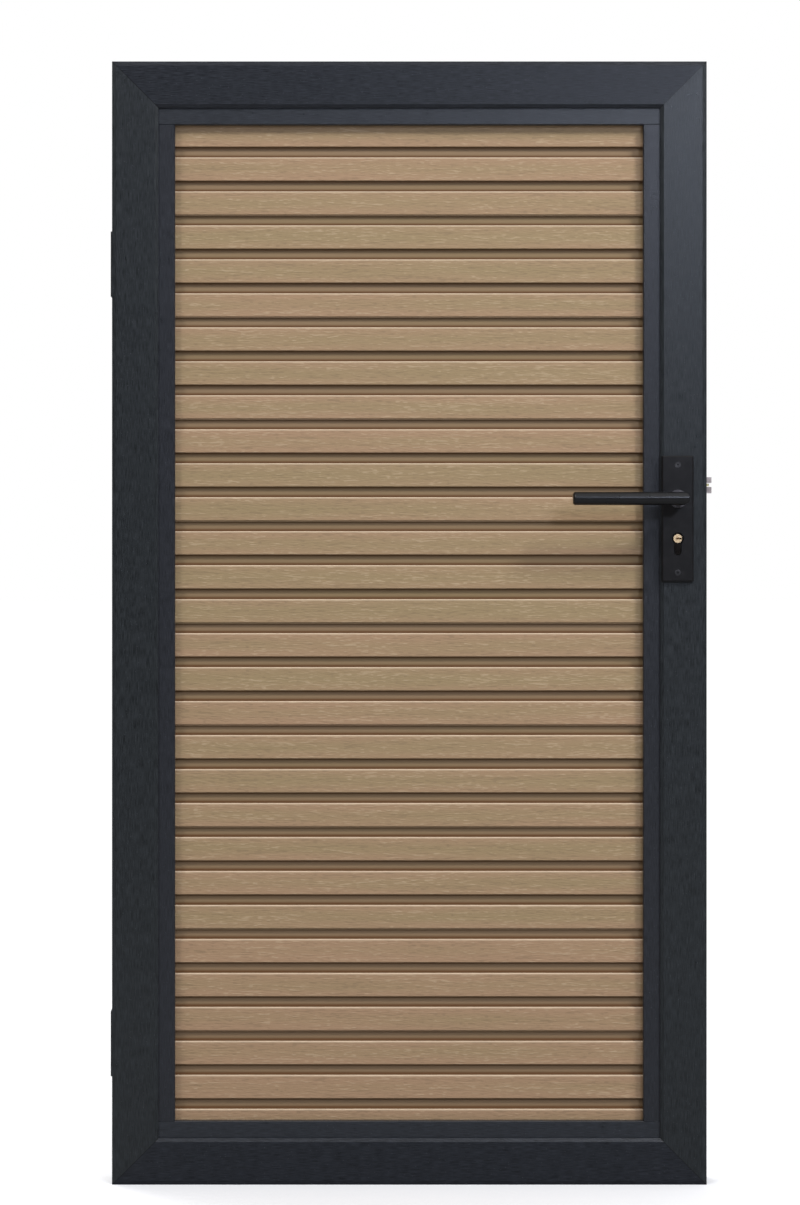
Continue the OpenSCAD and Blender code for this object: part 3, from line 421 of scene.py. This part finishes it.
wood = composite_wood()
for number in range(1, board_count + 1):
    node = f"board_{number}"
    low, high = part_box(node)
    cover = ribs * rib_pitch - seam_gap
    outline = board_outline(low.y, high.y, cover, high.z - low.z)
    around_y, around_z = outline.T
    on_front = around_y < low.y + groove_depth + 0.0001
    groove = np.where(on_front, np.clip((around_y - low.y) / groove_depth, 0.0, 1.0), 0.5)
    feet = lip_height + rib_pitch * np.arange(ribs + 1)
    under = np.min(np.abs(around_z[:, None] - feet), axis=1)
    over = np.min(np.abs(around_z[:, None] - feet[:ribs] - rib_height), axis=1)
    # Brown stain and painted shade: a line at the top of each groove under the rib above (0.7 strong) and a
    # stronger one at its foot
    edge_stain_and_shade = np.maximum(0.7 * np.exp(-(under / stain_and_shade_reach) ** 4), np.exp(-(over / stain_and_shade_reach) ** 4))
    stain_and_shade = np.where(on_front & (groove > 0.5), edge_stain_and_shade, 0.0)
    # Painted highlight mask along the top edge of each rib's face
    crest_highlight = np.where(on_front & (groove < 0.3), np.exp(-(over / crest_highlight_reach) ** 2), 0.0)
    xs = np.linspace(low.x, high.x, stations)
    grid_x, grid_z = np.meshgrid(xs, around_z + low.z, indexing="ij")
    rng = np.random.default_rng(40 + number)
    relief = pressed_grain(grid_x, grid_z, rng)
    # Every rib drifts between the two tans, and the two lowest boards are the pinkest. A cosine across
    # each rib's face also paints it lighter at the top and foot and darker in the middle: painted shade.
    least, most = (0.65, 0.85) if number <= 2 else (0.25, 0.65)
    rib_tone = rng.uniform(least, most, ribs + 1)
    rib_number = np.clip((around_z / rib_pitch).astype(int), 0, ribs)
    across = np.clip((around_z - lip_height - rib_number * rib_pitch) / rib_height, 0.0, 1.0)
    tone = rib_tone[rib_number] + 0.2 * np.cos(2 * np.pi * across)
    on_floor = on_front & (groove > 0.97)
    depth = np.where(groove < 0.02, grain_depth, np.where(on_floor, grain_depth * 0.25, 0.0))
    board = carried_along_x(
        f"ribbed_board_{number}", outline + (0.0, low.z), xs, (1.0 - relief) * depth,
        {"relief": np.where(on_front, relief, 0.5), "groove": groove, "stain_and_shade": stain_and_shade, "crest_highlight": crest_highlight,
         "tone": tone})
    board.data.materials.append(wood)
    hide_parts(node)
    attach(board, "leaf")

# ---------------------------------------------------------------- Hinges
# Two welded steel lift-off hinges, coated like the frame. The pins stay with the gatepost halves,
# brass washers take the weight, and zinc-plated screws hold the leaf halves.
dress(coated_aluminium("hinge_coat", (1.0, 1.0, 1.0), srgb(38, 40, 43), srgb(56, 59, 64), False),
      "hinge_leaf_upper", "hinge_leaf_lower", "hinge_post_upper", "hinge_post_lower")
dress(bright_metal("turned_brass", srgb(168, 132, 76), srgb(214, 182, 122), 0.3), "hinge_washers")
dress(zinc, "hinge_pins", "hinge_screws", "hinge_nuts")

# ---------------------------------------------------------------- Mortise lock
# A pressed steel case with its follower and bolts stands in the lock stile behind a brushed forend.
dress(bright_metal("brushed_steel", srgb(128, 129, 131), srgb(184, 185, 187), 0.34, (1.0, 1.0, 0.04)),
      "forend", "lock_case", "lock_cover", "dead_bolt", "follower", "cylinder_cam")
dress(bright_metal("latch_steel", srgb(146, 136, 138), srgb(190, 182, 182), 0.36, (0.05, 1.0, 1.0), 0.4),
      "latch_bolt")
dress(bright_metal("latch_brass", srgb(190, 182, 128), srgb(220, 214, 168), 0.34, metallic=0.4),
      "latch_insert")
dress(zinc, "case_screws", "forend_clips", "forend_screws", "handle_spring", "latch_spring",
      "cylinder_screw")

# ---------------------------------------------------------------- Lock cylinder
# A double euro cylinder: a dark patinated body and two satin brass plugs with their keyways.
dress(bright_metal("cylinder_patina", srgb(18, 16, 15), srgb(34, 31, 29), 0.34), "cylinder_body")
dress(bright_metal("plug_brass", srgb(208, 172, 126), srgb(242, 214, 172), 0.34), "front_plug", "rear_plug")


# ---------------------------------------------------------------- Lever set
# Mitred round-bar levers turn in collars on long plates, all lacquered black, and black socket
# screws draw the two plates together through the stile. The collars are painted mid grey as a painted
# highlight.
def satin_black(name, colour, pale, roughness):
    """Baked satin lacquer on metal: near black, with the faintest unevenness in tone and gloss."""
    material, tree, shader, place = new_material(name, Specular_IOR_Level=0.32)
    lines = place_group(tree, grain, Place=place, Stretch=(1.0, 1.0, 1.0), Fineness=1800.0)
    handled = ramp(tree, lines.outputs["Mottle"], 0.45, 0.8)
    tree.links.new(blend_colour(tree, handled, colour, pale), shader.inputs["Base Color"])
    rough = add(tree, "ShaderNodeMapRange", {"Value": lines.outputs["Mottle"], "To Min": roughness - 0.05,
                                             "To Max": roughness + 0.07})
    tree.links.new(rough.outputs["Result"], shader.inputs["Roughness"])
    tree.links.new(bump(tree, lines.outputs["Grain"], 0.12, 0.00008), shader.inputs["Normal"])
    return material


dress(satin_black("satin_black_lacquer", srgb(12, 12, 13), srgb(18, 18, 19), 0.28),
      "front_lever", "rear_lever")
# Painted highlight: the black collars are painted mid grey, as if lit from above
dress(satin_black("black_collar_painted_highlight", srgb(70, 68, 72), srgb(98, 96, 101), 0.26),
      "front_bush", "rear_bush")
dress(satin_black("satin_black_plate", srgb(12, 11, 12), srgb(20, 18, 19), 0.3),
      "front_plate", "rear_plate")
dress(satin_black("black_screw", srgb(38, 38, 40), srgb(66, 66, 69), 0.24), "plate_bolts", "grub_screws")
dress(zinc, "spindle", "plate_sleeves")

# ---------------------------------------------------------------- Floor and light
# The gate stands on a pale floor that fades into a white surround. Two lights come from high on the
# right and the left and shade the grooves, one from beside the camera, and a wide one from behind.
surround = (1.0, 1.0, 1.0, 1.0)
black = (0.0, 0.0, 0.0, 1.0)
reach = 30.0
floor_mesh = bpy.data.meshes.new("floor")
floor_corners = [(-reach, -reach, 0.0), (reach, -reach, 0.0), (reach, reach, 0.0), (-reach, reach, 0.0)]
floor_mesh.from_pydata(floor_corners, [], [(0, 1, 2, 3)])
floor = bpy.data.objects.new("floor", floor_mesh)
bpy.context.scene.collection.objects.link(floor)
floor_material, tree, shader, place = new_material("pale_floor", Roughness=0.9, Emission_Strength=1.0)
distance = add(tree, "ShaderNodeVectorMath", {0: place}, operation="LENGTH")
away = ramp(tree, distance.outputs["Value"], 0.3, 2.4)
ray = add(tree, "ShaderNodeLightPath")
seen = maths(tree, "MULTIPLY", away, ray.outputs["Is Camera Ray"])
tree.links.new(blend_colour(tree, seen, black, surround), shader.inputs["Emission Color"])
near_tone = blend_colour(tree, ray.outputs["Is Camera Ray"], (0.27, 0.27, 0.27, 1.0),
                         (0.8, 0.8, 0.8, 1.0))
tree.links.new(blend_colour(tree, seen, near_tone, black), shader.inputs["Base Color"])
floor_mesh.materials.append(floor_material)

world = bpy.data.worlds.new("studio")
bpy.context.scene.world = world
world.use_nodes = True
sky = world.node_tree
heading = add(sky, "ShaderNodeTexCoord")
upward = add(sky, "ShaderNodeSeparateXYZ", {"Vector": heading.outputs["Generated"]})
sky_colour = blend_colour(sky, ramp(sky, upward.outputs["Z"], 0.0, 0.9), (0.11, 0.11, 0.115, 1.0),
                          (1.0, 1.0, 1.03, 1.0))
ray = add(sky, "ShaderNodeLightPath")
seen = blend_colour(sky, ray.outputs["Is Camera Ray"], sky_colour, surround)
sky.links.new(seen, sky.nodes["Background"].inputs["Color"])


def area_light(name, azimuth, elevation, away_from, aim, size, power, tint=(1.0, 1.0, 1.0)):
    """A square soft box that faces its aim, from an azimuth right of the front and an elevation."""
    data = bpy.data.lights.new(name, "AREA")
    data.size = size
    data.energy = power
    data.color = tint
    light = bpy.data.objects.new(name, data)
    turn, rise = math.radians(azimuth), math.radians(elevation)
    light.location = (aim[0] + away_from * math.cos(rise) * math.sin(turn),
                      aim[1] - away_from * math.cos(rise) * math.cos(turn),
                      aim[2] + away_from * math.sin(rise))
    light.rotation_euler = (math.pi / 2 - rise, 0.0, turn)
    bpy.context.scene.collection.objects.link(light)


area_light("high_right", 46, 42, 6.0, (0.0, 0.0, 0.85), 1.1, 222.0)
area_light("beside_camera", 16, 20, 4.2, (0.3, 0.0, 1.0), 0.5, 41.0, (0.86, 0.95, 1.18))
area_light("high_left", -41, 40, 6.0, (0.0, 0.0, 0.85), 1.0, 94.0)
area_light("behind", 215, 58, 4.5, (0.0, 0.0, 0.9), 2.6, 150.0)
